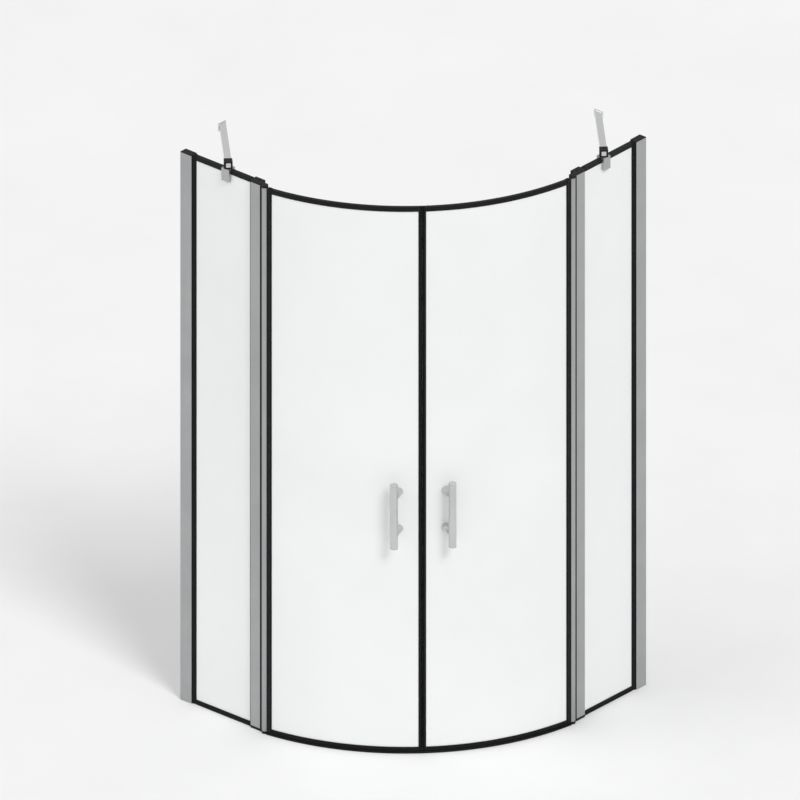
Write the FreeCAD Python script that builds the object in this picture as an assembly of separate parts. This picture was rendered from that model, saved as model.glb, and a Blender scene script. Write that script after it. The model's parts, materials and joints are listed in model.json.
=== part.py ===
import FreeCAD, Part
import math
import os

# Quadrant shower enclosure for a room corner: two fixed panes on the walls and
# two curved doors that swing in and out on pivot hinges and meet on the diagonal.
#
# Millimetres, +Z up. The floor is z = 0 and the origin is the middle of the square
# footprint. One wall is the plane x = -SIZE / 2 and the other is y = +SIZE / 2.
# Everything is drawn for the left side, in plan distances t and d: t runs along the
# fixed pane from its own wall and d is the distance from the other wall. The right
# side is the left one mirrored in the diagonal.

V = FreeCAD.Vector
UP = V(0, 0, 1)

# Whole enclosure
SIZE = 1000.0             # wall plane to outermost face, both ways
HEIGHT = 1850.0           # floor to the tops of profiles and hinge posts
GLASS_T = 8.0             # toughened glass
PANE_INSET = 20.5         # outermost face to the middle plane of a fixed pane
FIT = 0.05                # a seal or metal part on the piece that it sits on
PLAY = 0.3                # ends of seals and trims that butt against each other
PAST = 1.0                # a cut or a joined piece past the face that it meets

# Wall channel, and the glazing profile that slides in it to take up the wall
PROFILE_DEPTH = 26.0
CHANNEL_LEN = 44.0
CHANNEL_WALL = 2.0
CHANNEL_WEB = 2.5
CORNER_EDGE = 0.8         # chamfer on the outer corners of the extrusions
SLIDE_FIT = 0.2
GLAZING_START = 12.0      # wall to the back of the glazing profile
GLAZING_RECESS = 1.0      # its mouth stands back from the channel's edge
GLAZING_WALL = 1.8
CHAMBER_LEN = 11.0
CAP_T = 2.0
CAP_PLUG = 10.0
WALL_HOLE_R = 2.75
WALL_HOLE_Z = (200.0, 700.0, 1150.0, 1650.0)
LOCK_SCREW_T = 20.0
LOCK_SCREW_Z = (300.0, 925.0, 1550.0)

# Gaskets of the fixed pane
GASKET_BASE = 3.0         # rubber between the glass edge and the profile
WALL_LIP_LEN = 15.0
LIP_TIP = 1.2
LIP_ROOT_GAP = 0.4
POST_LIP_LEN = 8.0

# Hinge post
POST_START = 280.0
POST_LEN = 38.0
POST_WALL = 2.0
POCKET_LEN = 16.0
POCKET_LIP = 3.0          # return lips at the pocket's mouth
GLASS_GRIP = 10.0         # glass held in the post
BARB = 2.6
PORT_R = 3.4
PORT_INSET = 5.0          # web to the middle of the screw port
SEAL_FIN = 2.4            # thickness of a fin of the lip seal
SEAL_FIN_IN = 4.2         # inner side of the inner fin, inwards from the pivot
SEAL_BASE = 1.5

# Pivot hinge
BARREL_R = 10.0
BARREL_GAP = 8.0          # end of the post to the barrel
PIN_R = 4.0
PIN_PLAY = 0.05
PIN_LEN = 24.0
PIN_COVER = 2.0
BUSH_R = 6.8              # corners of the six-sided sleeve, which can't turn in the barrel
BUSH_LEN = 18.0
FLANGE_R = 8.5
FLANGE_T = 1.6
THRUST_GAP = 0.2
BRACKET_H = 8.0
PLUG_LEN = 12.0

# Curved doors
DOOR_R = 750.0            # middle of the curved glass
DOOR_FLOOR_GAP = 10.0     # floor to the bottom edge of the door glass
STILE_LEN = 20.0
STILE_HALF = 8.5
STILE_POCKET = 8.5
STILE_POCKET_HALF = 6.6
STILE_LIP_LEN = 7.0
STILE_LIP_ROOT = 7.8
SEAL_WALL = 1.5
EDGE_SEAL_LEN = 4.0       # overlap of the magnet seal on the glass
NOSE_LEN = 7.5
MEET_GAP = 0.8            # between the two magnet seals at their inner corners
MAGNET_T = 2.0
MAGNET_W = 5.0
MAGNET_IN = 4.5           # meeting line to the magnet
TRIM_H = 15.0
TRIM_T = 2.0
SILL_H = 15.0
SILL_BASE = 5.0
SILL_HALF = 8.0
DRIP_H = 10.0
DRIP_LIP = 3.5
DRIP_LIP_W = 2.0
THRESHOLD_H = 5.0
THRESHOLD_W = 20.0
THRESHOLD_EDGE = 2.0
THRESHOLD_SLOPE = 4.0

# Door handles
HANDLE_Z = 820.0
HANDLE_LEN = 215.0
HANDLE_R = 12.0
HANDLE_SETBACK = 83.0     # along the door, meeting line to the bar
HANDLE_LEAN = 12.0        # feet stand this much nearer to the meeting line
HANDLE_REACH = 45.0       # glass to the middle of the bar
FOOT_SPACING = 125.0
FOOT_R = 14.5
NECK_R = 10.5
FLATS = 24                # flat sides round a foot and a knob
STUD_R = 4.0
STUD_HOLE_R = 6.0
STUD_GRIP = 10.0
KNOB_R = 14.0
KNOB_H = 12.0
KNOB_EDGE = 2.5
KNOB_SEAT = 0.2           # the flat knob clears the hollow side of the glass

# Stabiliser: glass clamp, swivel block, square arm and wall foot
CLAMP_T = 180.0
CLAMP_W = 30.0
CLAMP_H = 38.0
JAW_FRONT = 10.0
JAW_BACK = 8.7
BRIDGE_T = 4.0
PAD_T = 1.0
PRESSURE_T = 2.0
PRESSURE_GAP = 0.3
PAD_MARGIN = 2.0
GRUB_R = 3.0
GRUB_SPACING = 18.0
BLOCK_W = 26.0
BLOCK_H = 24.0
BLOCK_EDGE = 1.2
WINDOW_W = 15.0
WINDOW_DEEP = 1.2
ARM_W = 21.0
ARM_WALL = 2.0
ARM_EDGE = 1.0
SPIGOT_LEN = 20.0
FOOT_PLATE_T = 5.0
FOOT_PLATE_W = 34.0
FOOT_PLATE_H = 24.0
CHEEK_T = 3.0
CAP_SCREW_R = 5.0
CAP_SCREW_H = 3.0

# Self-tapping screws of the frame; small round things that repeat have flat sides
SMALL_SIDES = 12
SCREW_R = 2.0
SCREW_LEN = 12.0
SCREW_HEAD_R = 4.0
SCREW_HEAD_H = 2.4
SCREW_SINK = 3.0
SCREW_PLAY = 0.1

# Places that follow from the sizes above
HALF = SIZE / 2
PANE_D = SIZE - PANE_INSET
GLASS_HALF = GLASS_T / 2
DEPTH_HALF = PROFILE_DEPTH / 2
CHANNEL_HALF = DEPTH_HALF - CHANNEL_WALL
GLAZING_HALF = CHANNEL_HALF - SLIDE_FIT
GLAZING_IN = GLAZING_HALF - GLAZING_WALL
GLAZING_END = CHANNEL_LEN - GLAZING_RECESS
CHAMBER_START = GLAZING_START + GLAZING_WALL
MOUTH_START = CHAMBER_START + CHAMBER_LEN + GLAZING_WALL
PANE_START = MOUTH_START + GASKET_BASE
PANE_TOP = HEIGHT - TRIM_T
PROFILE_TOP = HEIGHT - CAP_T
WALL_LIP_END = GLAZING_END + WALL_LIP_LEN

POST_END = POST_START + POST_LEN
POST_IN = DEPTH_HALF - POST_WALL
PANE_END = POST_START + GLASS_GRIP
POCKET_END = POST_START + POST_WALL + POCKET_LEN
PORT_T = POCKET_END + PORT_INSET
POST_LIP_START = POST_START - POST_LIP_LEN
POST_TOP = HEIGHT - BRACKET_H

PIVOT_T = POST_END + BARREL_GAP + BARREL_R
PIVOT_D = SIZE - BARREL_R
STILE_BOTTOM = BRACKET_H + THRUST_GAP + FLANGE_T
STILE_TOP = HEIGHT - STILE_BOTTOM
DOOR_TOP = POST_TOP
DOOR_GLASS_TOP = DOOR_TOP - TRIM_T

# The door arc passes through the pivot and has its centre on the diagonal.
PIVOT_SUM = PIVOT_T + PIVOT_D
PIVOT_SQUARES = PIVOT_T ** 2 + PIVOT_D ** 2 - DOOR_R ** 2
ARC_C = (PIVOT_SUM - math.sqrt(PIVOT_SUM ** 2 - 2 * PIVOT_SQUARES)) / 2
PIVOT_ANGLE = math.atan2(PIVOT_D - ARC_C, PIVOT_T - ARC_C)
MEET_ANGLE = math.pi / 4
MEET_S = (PIVOT_ANGLE - MEET_ANGLE) * DOOR_R
GLASS_S0 = STILE_LEN - STILE_POCKET + SEAL_WALL
GLASS_S1 = MEET_S - NOSE_LEN
EDGE_SEAL_S0 = GLASS_S1 - EDGE_SEAL_LEN
SEAL_HALF = GLASS_HALF + SEAL_WALL
STRIP_HALF = GLASS_HALF + TRIM_T
STRIP_S0 = STILE_LEN + STILE_LIP_LEN + PLAY
STRIP_S1 = EDGE_SEAL_S0 - PLAY

CLAMP_TOP = PANE_TOP + PLAY + BRIDGE_T
ARM_Z = CLAMP_TOP + BLOCK_H / 2
CLAMP_T0 = CLAMP_T - CLAMP_W / 2
CLAMP_T1 = CLAMP_T + CLAMP_W / 2
PRESSURE_BACK = GLASS_HALF + PAD_T + PRESSURE_T
FOOT_D = PANE_D - CLAMP_T + FOOT_PLATE_T
SPIGOT_HALF = ARM_W / 2 - ARM_WALL - SLIDE_FIT
ARM_RUN = CLAMP_T * math.sqrt(2)    # middle of the clamp to the wall, along the arm


# ---------------------------------------------------------------- building blocks

def plan(t, d, z=0.0):
    """The point at t from the pane's own wall and d from the other wall."""
    return V(t - HALF, HALF - d, z)


def polar(radius, angle, z=0.0):
    """A point about the centre of the door arc."""
    return plan(ARC_C + radius * math.cos(angle), ARC_C + radius * math.sin(angle), z)


def angle_at(s):
    """The angle of a point s along the middle of the door from its pivot."""
    return PIVOT_ANGLE - s / DOOR_R


def outline(corners):
    return Part.Face(Part.makePolygon(corners + corners[:1]))


def prism(points, z0, z1):
    """An upright prism on (t, offset) points, offset outwards from the pane's plane."""
    corners = [plan(t, PANE_D + off, z0) for t, off in points]
    return outline(corners).extrude(V(0, 0, z1 - z0))


def block(t0, t1, off0, off1, z0, z1):
    return prism([(t0, off0), (t1, off0), (t1, off1), (t0, off1)], z0, z1)


def runs_along(edge, direction):
    ends = [v.Point for v in edge.Vertexes]
    return (ends[1] - ends[0]).cross(direction).Length < 1e-6


def eased(body, size, direction=UP):
    """Chamfer the edges of a plain block that run along a direction, upright ones by default."""
    return body.makeChamfer(size, [e for e in body.Edges if runs_along(e, direction)])


def run_straight(section, t0, t1):
    """An (offset, z) section run along the fixed pane."""
    corners = [plan(t0, PANE_D + off, z) for off, z in section]
    return outline(corners).extrude(V(t1 - t0, 0, 0))


def run_curved(section, s0, s1):
    """An (offset, z) section turned about the arc's centre, from s0 to s1 along the door."""
    corners = [polar(DOOR_R + off, angle_at(s0), z) for off, z in section]
    turn = math.degrees((s1 - s0) / DOOR_R)
    return outline(corners).revolve(plan(ARC_C, ARC_C), UP, turn)


def ribbon(points, z0, z1):
    """An upright prism on (s, offset) points in the door's own curve."""
    corners = [polar(DOOR_R + off, angle_at(s), z0) for s, off in points]
    return outline(corners).extrude(V(0, 0, z1 - z0))


def barrel(radius, z0, z1):
    """An upright cylinder on the door's pivot."""
    return Part.makeCylinder(radius, z1 - z0, plan(PIVOT_T, PIVOT_D, z0))


def ring(radius, middle, direction, sides):
    """The corners of a regular polygon across a direction."""
    turn = FreeCAD.Rotation(UP, direction)
    angles = [2 * math.pi * i / sides for i in range(sides)]
    return [middle + turn.multVec(V(radius * math.cos(a), radius * math.sin(a), 0)) for a in angles]


def tapered(start, end):
    """The solid with flat sides between two rings."""
    sides = [outline([start[i - 1], start[i], end[i], end[i - 1]]) for i in range(len(start))]
    return Part.Solid(Part.Shell([outline(start), outline(end)] + sides))


def peg(radius, base, direction, length, sides=SMALL_SIDES):
    """A regular prism with its corners on the radius, for a small pin or its hole."""
    return outline(ring(radius, base, direction, sides)).extrude(direction * length)


def round_in(radius, sides):
    """The corner radius of a regular hole that a round piece just fits."""
    return (radius + FIT) / math.cos(math.pi / sides)


def peg_at(radius, z0, z1, t, off):
    return peg(radius, plan(t, PANE_D + off, z0), UP, z1 - z0)


def frame(outer, height, wall, z0):
    """A U section over a pane's edge: wall thick, open upwards from z0 by the height."""
    inner = GLASS_HALF + FIT
    return [(-outer, z0), (outer, z0), (outer, z0 + height), (inner, z0 + height),
            (inner, z0 + wall), (-inner, z0 + wall), (-inner, z0 + height), (-outer, z0 + height)]


def upside_down(section, top):
    """The same section hanging from the given height."""
    lowest = min(z for _, z in section)
    return [(off, top - (z - lowest)) for off, z in section]


def both_ends(lower):
    """A hinge piece at the floor end and its twin at the top end."""
    upper = lower.mirror(V(0, 0, HEIGHT / 2), UP)
    return [lower, upper]


def screw(seat, direction):
    """Pan-head self-tapping screw whose head sits on the seat."""
    head = peg(SCREW_HEAD_R, seat - direction * SCREW_HEAD_H, direction, SCREW_HEAD_H)
    return head.fuse(peg(SCREW_R, seat, direction, SCREW_LEN)).removeSplitter()


def screw_hole(seat, direction):
    return peg(SCREW_R + SCREW_PLAY, seat, direction, SCREW_LEN)


# ---------------------------------------------------------------- wall side

def lock_screw_seats():
    return [plan(LOCK_SCREW_T, PANE_D - DEPTH_HALF, z) for z in LOCK_SCREW_Z]


def wall_channel():
    body = eased(block(0, CHANNEL_LEN, -DEPTH_HALF, DEPTH_HALF, 0, PROFILE_TOP), CORNER_EDGE)
    body = body.cut(block(CHANNEL_WEB, CHANNEL_LEN, -CHANNEL_HALF, CHANNEL_HALF, 0, PROFILE_TOP))
    for z in WALL_HOLE_Z:
        body = body.cut(Part.makeCylinder(WALL_HOLE_R, CHANNEL_WEB, plan(0, PANE_D, z), V(1, 0, 0)))
    for seat in lock_screw_seats():
        body = body.cut(screw_hole(seat, V(0, -1, 0)))
    return body


def glazing_profile():
    body = block(GLAZING_START, GLAZING_END, -GLAZING_HALF, GLAZING_HALF, 0, PROFILE_TOP)
    chamber_end = CHAMBER_START + CHAMBER_LEN
    body = body.cut(block(CHAMBER_START, chamber_end, -GLAZING_IN, GLAZING_IN, 0, PROFILE_TOP))
    body = body.cut(block(MOUTH_START, GLAZING_END, -GLAZING_IN, GLAZING_IN, 0, PROFILE_TOP))
    for seat in lock_screw_seats():
        body = body.cut(screw_hole(seat, V(0, -1, 0)))
    return body


def wall_gasket():
    root = CHANNEL_HALF - LIP_ROOT_GAP
    tip = GLASS_HALF + LIP_TIP
    upper = [(MOUTH_START, GLAZING_IN), (GLAZING_END, GLAZING_IN), (GLAZING_END, root),
             (WALL_LIP_END, tip), (WALL_LIP_END, GLASS_HALF), (PANE_START, GLASS_HALF)]
    lower = [(t, -off) for t, off in reversed(upper)]
    return prism(upper + lower, 0, PROFILE_TOP)


def profile_cap():
    plate = eased(block(0, CHANNEL_LEN, -DEPTH_HALF, DEPTH_HALF, PROFILE_TOP, HEIGHT), CORNER_EDGE)
    plug_half = CHANNEL_HALF - PLAY
    plug = block(CHANNEL_WEB + PLAY, GLAZING_START - PLAY, -plug_half, plug_half,
                 PROFILE_TOP - CAP_PLUG, PROFILE_TOP)
    return plate.fuse(plug).removeSplitter()


# ---------------------------------------------------------------- fixed pane

def fixed_pane():
    return block(PANE_START, PANE_END, -GLASS_HALF, GLASS_HALF, SILL_BASE, PANE_TOP)


def sill_seal():
    foot = [(-SILL_HALF, 0), (SILL_HALF, 0)]
    legs = frame(STRIP_HALF, SILL_H, SILL_BASE, 0)[2:]
    shoulder_out = [(SILL_HALF, SILL_BASE / 2), (STRIP_HALF, SILL_BASE)]
    shoulder_in = [(-STRIP_HALF, SILL_BASE), (-SILL_HALF, SILL_BASE / 2)]
    section = foot + shoulder_out + legs + shoulder_in
    return run_straight(section, WALL_LIP_END + PLAY, POST_LIP_START - PLAY)


def pane_top_trim():
    """Edge trim in two lengths, one each side of the stabiliser's clamp."""
    section = upside_down(frame(STRIP_HALF, TRIM_H, TRIM_T, 0), HEIGHT)
    near = run_straight(section, WALL_LIP_END + PLAY, CLAMP_T0 - PLAY)
    far = run_straight(section, CLAMP_T1 + PLAY, POST_LIP_START - PLAY)
    return Part.makeCompound([near, far])


# ---------------------------------------------------------------- hinge post

def hinge_post():
    """Extrusion with a glazing pocket, and a closed chamber with a screw port on its web."""
    mouth = POST_IN - POCKET_LIP
    chamber = block(POCKET_END + POST_WALL, POST_END - POST_WALL, -POST_IN, POST_IN,
                    BRACKET_H, POST_TOP)
    chamber = chamber.cut(peg_at(PORT_R, BRACKET_H, POST_TOP, PORT_T, 0))
    body = eased(block(POST_START, POST_END, -DEPTH_HALF, DEPTH_HALF, BRACKET_H, POST_TOP), CORNER_EDGE)
    body = body.cut(chamber)
    body = body.cut(block(POST_START, POST_START + POST_WALL, -mouth, mouth, BRACKET_H, POST_TOP))
    body = body.cut(block(POST_START + POST_WALL, POCKET_END, -POST_IN, POST_IN, BRACKET_H, POST_TOP))
    return body.cut(peg_at(SCREW_R + SCREW_PLAY, BRACKET_H, POST_TOP, PORT_T, 0))


def post_gasket():
    """Push-in gasket with barbs behind the pocket's lips."""
    mouth = POST_IN - POCKET_LIP - FIT
    barb_end = POST_START + POST_WALL + BARB
    barb_out = POST_IN - LIP_ROOT_GAP
    lip_root = mouth + LIP_TIP
    upper = [(POST_LIP_START, GLASS_HALF), (POST_LIP_START, GLASS_HALF + LIP_TIP),
             (POST_START, lip_root), (POST_START, mouth), (POST_START + POST_WALL, mouth),
             (POST_START + POST_WALL, barb_out), (barb_end, barb_out - LIP_TIP),
             (PANE_END + GASKET_BASE, mouth - LIP_TIP)]
    inner = [(PANE_END, -GLASS_HALF), (PANE_END, GLASS_HALF)]
    lower = [(t, -off) for t, off in reversed(upper)]
    return prism(upper + lower + inner, BRACKET_H, POST_TOP)


def lip_seal():
    """Two fins on the end of the post that wipe the barrel of the door."""
    pivot_off = PIVOT_D - PANE_D
    reach = PIVOT_T - BARREL_R + SEAL_FIN / 2
    outer_fin = (DEPTH_HALF - SEAL_FIN, DEPTH_HALF)
    inner_fin = (pivot_off - SEAL_FIN_IN, pivot_off - SEAL_FIN_IN + SEAL_FIN)
    body = block(POST_END, POST_END + SEAL_BASE, inner_fin[0], outer_fin[1], STILE_BOTTOM, STILE_TOP)
    for low, high in (outer_fin, inner_fin):
        body = body.fuse(block(POST_END, reach, low, high, STILE_BOTTOM, STILE_TOP))
    return body.cut(barrel(BARREL_R + PLAY, STILE_BOTTOM, STILE_TOP)).removeSplitter()


def lower_bracket():
    """Plate under the post that carries the pivot pin, with a plug and a screw in the post."""
    pivot_off = PIVOT_D - PANE_D
    body = eased(block(POST_START, POST_END, -DEPTH_HALF, DEPTH_HALF, 0, BRACKET_H), CORNER_EDGE)
    neck = block(POST_END - POST_WALL, PIVOT_T, pivot_off - BARREL_R, DEPTH_HALF, 0, BRACKET_H)
    body = body.fuse(neck).fuse(barrel(BARREL_R, 0, BRACKET_H))
    plug_start = PORT_T + PORT_R + PLAY
    plug_end = POST_END - POST_WALL - PLAY
    plug_half = POST_IN - PLAY
    body = body.fuse(block(plug_start, plug_end, -plug_half, plug_half,
                           BRACKET_H, BRACKET_H + PLUG_LEN))
    slot_half = GLASS_HALF + PLAY
    body = body.cut(block(POST_START, PANE_END + PLAY, -slot_half, slot_half, SILL_BASE, BRACKET_H))
    body = body.cut(peg_at(round_in(PIN_R, SMALL_SIDES), PIN_COVER, BRACKET_H, PIVOT_T, pivot_off))
    body = body.cut(peg_at(SCREW_HEAD_R + SCREW_PLAY, 0, SCREW_SINK, PORT_T, 0))
    body = body.cut(peg_at(SCREW_R + SCREW_PLAY, SCREW_SINK, BRACKET_H, PORT_T, 0))
    return body.removeSplitter()


def upper_bracket():
    """The lower bracket turned over, with the slot at the pane's own top edge."""
    body = lower_bracket().mirror(V(0, 0, HEIGHT / 2), UP)
    slot_half = GLASS_HALF + PLAY
    return body.cut(block(POST_START, PANE_END + PLAY, -slot_half, slot_half, POST_TOP, PANE_TOP))


def pivot_pins():
    return both_ends(barrel(PIN_R, PIN_COVER, PIN_COVER + PIN_LEN))


def bracket_screws():
    return both_ends(screw(plan(PORT_T, PANE_D, SCREW_SINK), UP))


def lock_screws():
    return [screw(seat, V(0, -1, 0)) for seat in lock_screw_seats()]


# ---------------------------------------------------------------- curved door

def sleeve_shape(radius, z0, z1):
    """The six-sided form of the bushes' sleeves and of the hole through the barrel."""
    return peg(radius, plan(PIVOT_T, PIVOT_D, z0), UP, z1 - z0, 6)


def pivot_bushes():
    """Flanged bushes in the ends of the barrel, running on the pins."""
    low = BRACKET_H + THRUST_GAP
    flange = barrel(FLANGE_R, low, STILE_BOTTOM)
    sleeve = sleeve_shape(BUSH_R - FIT, STILE_BOTTOM, STILE_BOTTOM + BUSH_LEN)
    bore = barrel(PIN_R + PIN_PLAY, low, STILE_BOTTOM + BUSH_LEN)
    return both_ends(flange.fuse(sleeve).cut(bore).removeSplitter())


def door_stile():
    """Extrusion with the pivot barrel on one edge and the glass pocket on the other."""
    arm = [(-STILE_HALF, STILE_BOTTOM), (STILE_HALF, STILE_BOTTOM),
           (STILE_HALF, STILE_TOP), (-STILE_HALF, STILE_TOP)]
    body = barrel(BARREL_R, STILE_BOTTOM, STILE_TOP).fuse(run_curved(arm, 0, STILE_LEN))
    pocket = STILE_LEN - STILE_POCKET
    half = STILE_POCKET_HALF
    mouth = STILE_LEN + PAST
    body = body.cut(ribbon([(pocket, -half), (mouth, -half), (mouth, half), (pocket, half)],
                           STILE_BOTTOM, STILE_TOP))
    return body.cut(sleeve_shape(BUSH_R, STILE_BOTTOM, STILE_TOP)).removeSplitter()


def stile_gasket():
    pocket = STILE_LEN - STILE_POCKET + FIT
    out = STILE_POCKET_HALF - FIT
    inner = GLASS_HALF + FIT
    lip_end = STILE_LEN + STILE_LIP_LEN
    upper = [(pocket, out), (STILE_LEN, out), (STILE_LEN, STILE_LIP_ROOT),
             (lip_end, GLASS_HALF + LIP_TIP), (lip_end, inner), (GLASS_S0 - FIT, inner)]
    lower = [(s, -off) for s, off in reversed(upper)]
    return ribbon(upper + lower, STILE_BOTTOM, STILE_TOP)


def foot_frame(sign):
    """Foot of the handle on the glass: its middle, and the way out of the glass there."""
    angle = MEET_ANGLE + (HANDLE_SETBACK - HANDLE_LEAN) / DOOR_R
    z = HANDLE_Z + sign * FOOT_SPACING / 2
    middle = polar(DOOR_R, angle, z)
    outwards = polar(DOOR_R + 1, angle, z) - middle
    return middle, outwards


def bar_middle(z):
    angle = MEET_ANGLE + HANDLE_SETBACK / DOOR_R
    return polar(DOOR_R + GLASS_HALF + HANDLE_REACH, angle, z)


def door_pane():
    section = [(-GLASS_HALF, DOOR_FLOOR_GAP), (GLASS_HALF, DOOR_FLOOR_GAP),
               (GLASS_HALF, DOOR_GLASS_TOP), (-GLASS_HALF, DOOR_GLASS_TOP)]
    body = run_curved(section, GLASS_S0, GLASS_S1)
    for sign in (-1, 1):
        middle, outwards = foot_frame(sign)
        body = body.cut(peg(STUD_HOLE_R, middle - outwards * GLASS_T, outwards, 2 * GLASS_T))
    return body


def meeting_radius():
    """Pivot to the inner corner of the magnet seal, so that a door swings past its twin."""
    radius = DOOR_R - SEAL_HALF
    corner = polar(radius, MEET_ANGLE + MEET_GAP / 2 / radius)
    return corner.distanceToPoint(plan(PIVOT_T, PIVOT_D))


def magnet_box():
    start = MEET_S - MAGNET_IN - MAGNET_T
    end = MEET_S - MAGNET_IN
    half = MAGNET_W / 2
    return ribbon([(start, -half), (end, -half), (end, half), (start, half)],
                  DOOR_FLOOR_GAP, DOOR_GLASS_TOP)


def magnet_seal():
    """Rubber on the free edge, its nose turned about the pivot, with a strip magnet inside."""
    z0 = DOOR_FLOOR_GAP - DRIP_LIP
    section = [(-SEAL_HALF, z0), (SEAL_HALF, z0), (SEAL_HALF, DOOR_TOP), (-SEAL_HALF, DOOR_TOP)]
    body = run_curved(section, EDGE_SEAL_S0, MEET_S + NOSE_LEN)
    body = body.common(barrel(meeting_radius(), z0, DOOR_TOP))
    inner = GLASS_HALF + FIT
    glass = [(-inner, DOOR_FLOOR_GAP), (inner, DOOR_FLOOR_GAP),
             (inner, DOOR_GLASS_TOP), (-inner, DOOR_GLASS_TOP)]
    body = body.cut(run_curved(glass, EDGE_SEAL_S0, GLASS_S1))
    return body.cut(magnet_box())


def drip_seal():
    """Bottom seal with a lip that hangs over the threshold."""
    low = DOOR_FLOOR_GAP - DRIP_LIP
    inner = GLASS_HALF + FIT
    top = DOOR_FLOOR_GAP + DRIP_H
    shoulder = DOOR_FLOOR_GAP - DRIP_LIP / 2
    section = [(-DRIP_LIP_W, low), (DRIP_LIP_W, low), (STRIP_HALF, shoulder), (STRIP_HALF, top),
               (inner, top), (inner, DOOR_FLOOR_GAP), (-inner, DOOR_FLOOR_GAP), (-inner, top),
               (-STRIP_HALF, top), (-STRIP_HALF, shoulder)]
    return run_curved(section, STRIP_S0, STRIP_S1)


def door_top_trim():
    section = upside_down(frame(STRIP_HALF, TRIM_H, TRIM_T, 0), DOOR_TOP)
    return run_curved(section, STRIP_S0, STRIP_S1)


def threshold():
    """Low strip on the floor under both doors, from one lower bracket to the other."""
    half = THRESHOLD_W / 2
    crown = half - THRESHOLD_SLOPE
    section = [(-half, 0), (half, 0), (half, THRESHOLD_EDGE), (crown, THRESHOLD_H),
               (-crown, THRESHOLD_H), (-half, THRESHOLD_EDGE)]
    start = BARREL_R + PLAY
    return run_curved(section, start, 2 * MEET_S - start)


# ---------------------------------------------------------------- handle

def handle_bar():
    return Part.makeCylinder(HANDLE_R, HANDLE_LEN, bar_middle(HANDLE_Z - HANDLE_LEN / 2))


def handle_feet():
    """Two tapered feet that lean from the glass to the bar."""
    feet = []
    for sign in (-1, 1):
        middle, outwards = foot_frame(sign)
        top = bar_middle(middle.z)
        lean = (top - middle).normalize()
        taper = tapered(ring(FOOT_R, middle, lean, FLATS), ring(NECK_R, top, lean, FLATS))
        reach = FOOT_R + HANDLE_LEAN
        seat = GLASS_HALF + FIT
        glass = Part.makeCylinder(reach, reach, middle - outwards * (reach - seat), outwards)
        bar = peg(round_in(HANDLE_R, FLATS), bar_middle(middle.z - reach), UP, 2 * reach, FLATS)
        stud = peg(STUD_R + FIT, middle, outwards, GLASS_HALF + STUD_GRIP)
        feet.append(taper.cut(glass).cut(bar).cut(stud))
    return feet


def handle_studs():
    """Knobs on the inside, each in one with the stud that holds a foot through the glass."""
    studs = []
    for sign in (-1, 1):
        middle, outwards = foot_frame(sign)
        seat = middle - outwards * (GLASS_HALF + KNOB_SEAT)
        shoulder = seat - outwards * (KNOB_H - KNOB_EDGE)
        rings = [ring(KNOB_R, shoulder, outwards, FLATS),
                 ring(KNOB_R - KNOB_EDGE, shoulder - outwards * KNOB_EDGE, outwards, FLATS)]
        knob = peg(KNOB_R, shoulder, outwards, KNOB_H - KNOB_EDGE, FLATS).fuse(tapered(*rings))
        length = GLASS_T + KNOB_SEAT + STUD_GRIP - PLAY
        studs.append(knob.fuse(peg(STUD_R, seat, outwards, length)).removeSplitter())
    return studs


# ---------------------------------------------------------------- stabiliser

def skewed(points, z0, z1):
    """An upright prism on (along, across) points about the clamp, along the arm to the wall."""
    c = math.sqrt(0.5)
    corners = [plan(CLAMP_T - (a - b) * c, PANE_D - (a + b) * c, z0) for a, b in points]
    return outline(corners).extrude(V(0, 0, z1 - z0))


def skewed_block(a0, a1, half, z0, z1):
    return skewed([(a0, -half), (a1, -half), (a1, half), (a0, half)], z0, z1)


def clamp_body():
    """Saddle over the top edge of the pane, its back jaw tapped for two grub screws."""
    front = GLASS_HALF + PAD_T + JAW_FRONT
    back = PRESSURE_BACK + PRESSURE_GAP + JAW_BACK
    low = CLAMP_TOP - BRIDGE_T - CLAMP_H
    body = eased(block(CLAMP_T0, CLAMP_T1, -back, front, low, CLAMP_TOP), BLOCK_EDGE)
    slot_top = CLAMP_TOP - BRIDGE_T
    body = body.cut(block(CLAMP_T0, CLAMP_T1, -PRESSURE_BACK - PRESSURE_GAP, GLASS_HALF + PAD_T,
                          low, slot_top))
    for seat, reach in grub_places():
        body = body.cut(peg(GRUB_R + FIT, seat, V(0, -1, 0), reach))
    return body.cut(peg_at(GRUB_R + FIT, slot_top, CLAMP_TOP, CLAMP_T, 0))


def grub_places():
    """Outer end and length of each grub screw, through the back jaw to the pressure plate."""
    reach = PRESSURE_GAP + JAW_BACK
    middle = CLAMP_TOP - BRIDGE_T - CLAMP_H / 2
    return [(plan(CLAMP_T, PANE_D - PRESSURE_BACK - reach, middle + side * GRUB_SPACING / 2), reach)
            for side in (-1, 1)]


def jaw_slab(off0, off1):
    low = CLAMP_TOP - BRIDGE_T - CLAMP_H + PAD_MARGIN
    high = PANE_TOP - PAD_MARGIN
    return block(CLAMP_T0 + PAD_MARGIN, CLAMP_T1 - PAD_MARGIN, off0, off1, low, high)


def pressure_plate():
    return jaw_slab(-PRESSURE_BACK, -GLASS_HALF - PAD_T)


def clamp_pads():
    return [jaw_slab(GLASS_HALF, GLASS_HALF + PAD_T), jaw_slab(-GLASS_HALF - PAD_T, -GLASS_HALF)]


def clamp_screws():
    """Two grub screws, and the cap screw that locks the swivel block."""
    grubs = [peg(GRUB_R, seat, V(0, -1, 0), reach) for seat, reach in grub_places()]
    top = CLAMP_TOP + BLOCK_H
    shank = peg_at(GRUB_R, CLAMP_TOP - BRIDGE_T + PLAY, top - CAP_SCREW_H, CLAMP_T, 0)
    head = peg_at(CAP_SCREW_R, top - CAP_SCREW_H, top, CLAMP_T, 0)
    return grubs + [shank.fuse(head).removeSplitter()]


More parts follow.
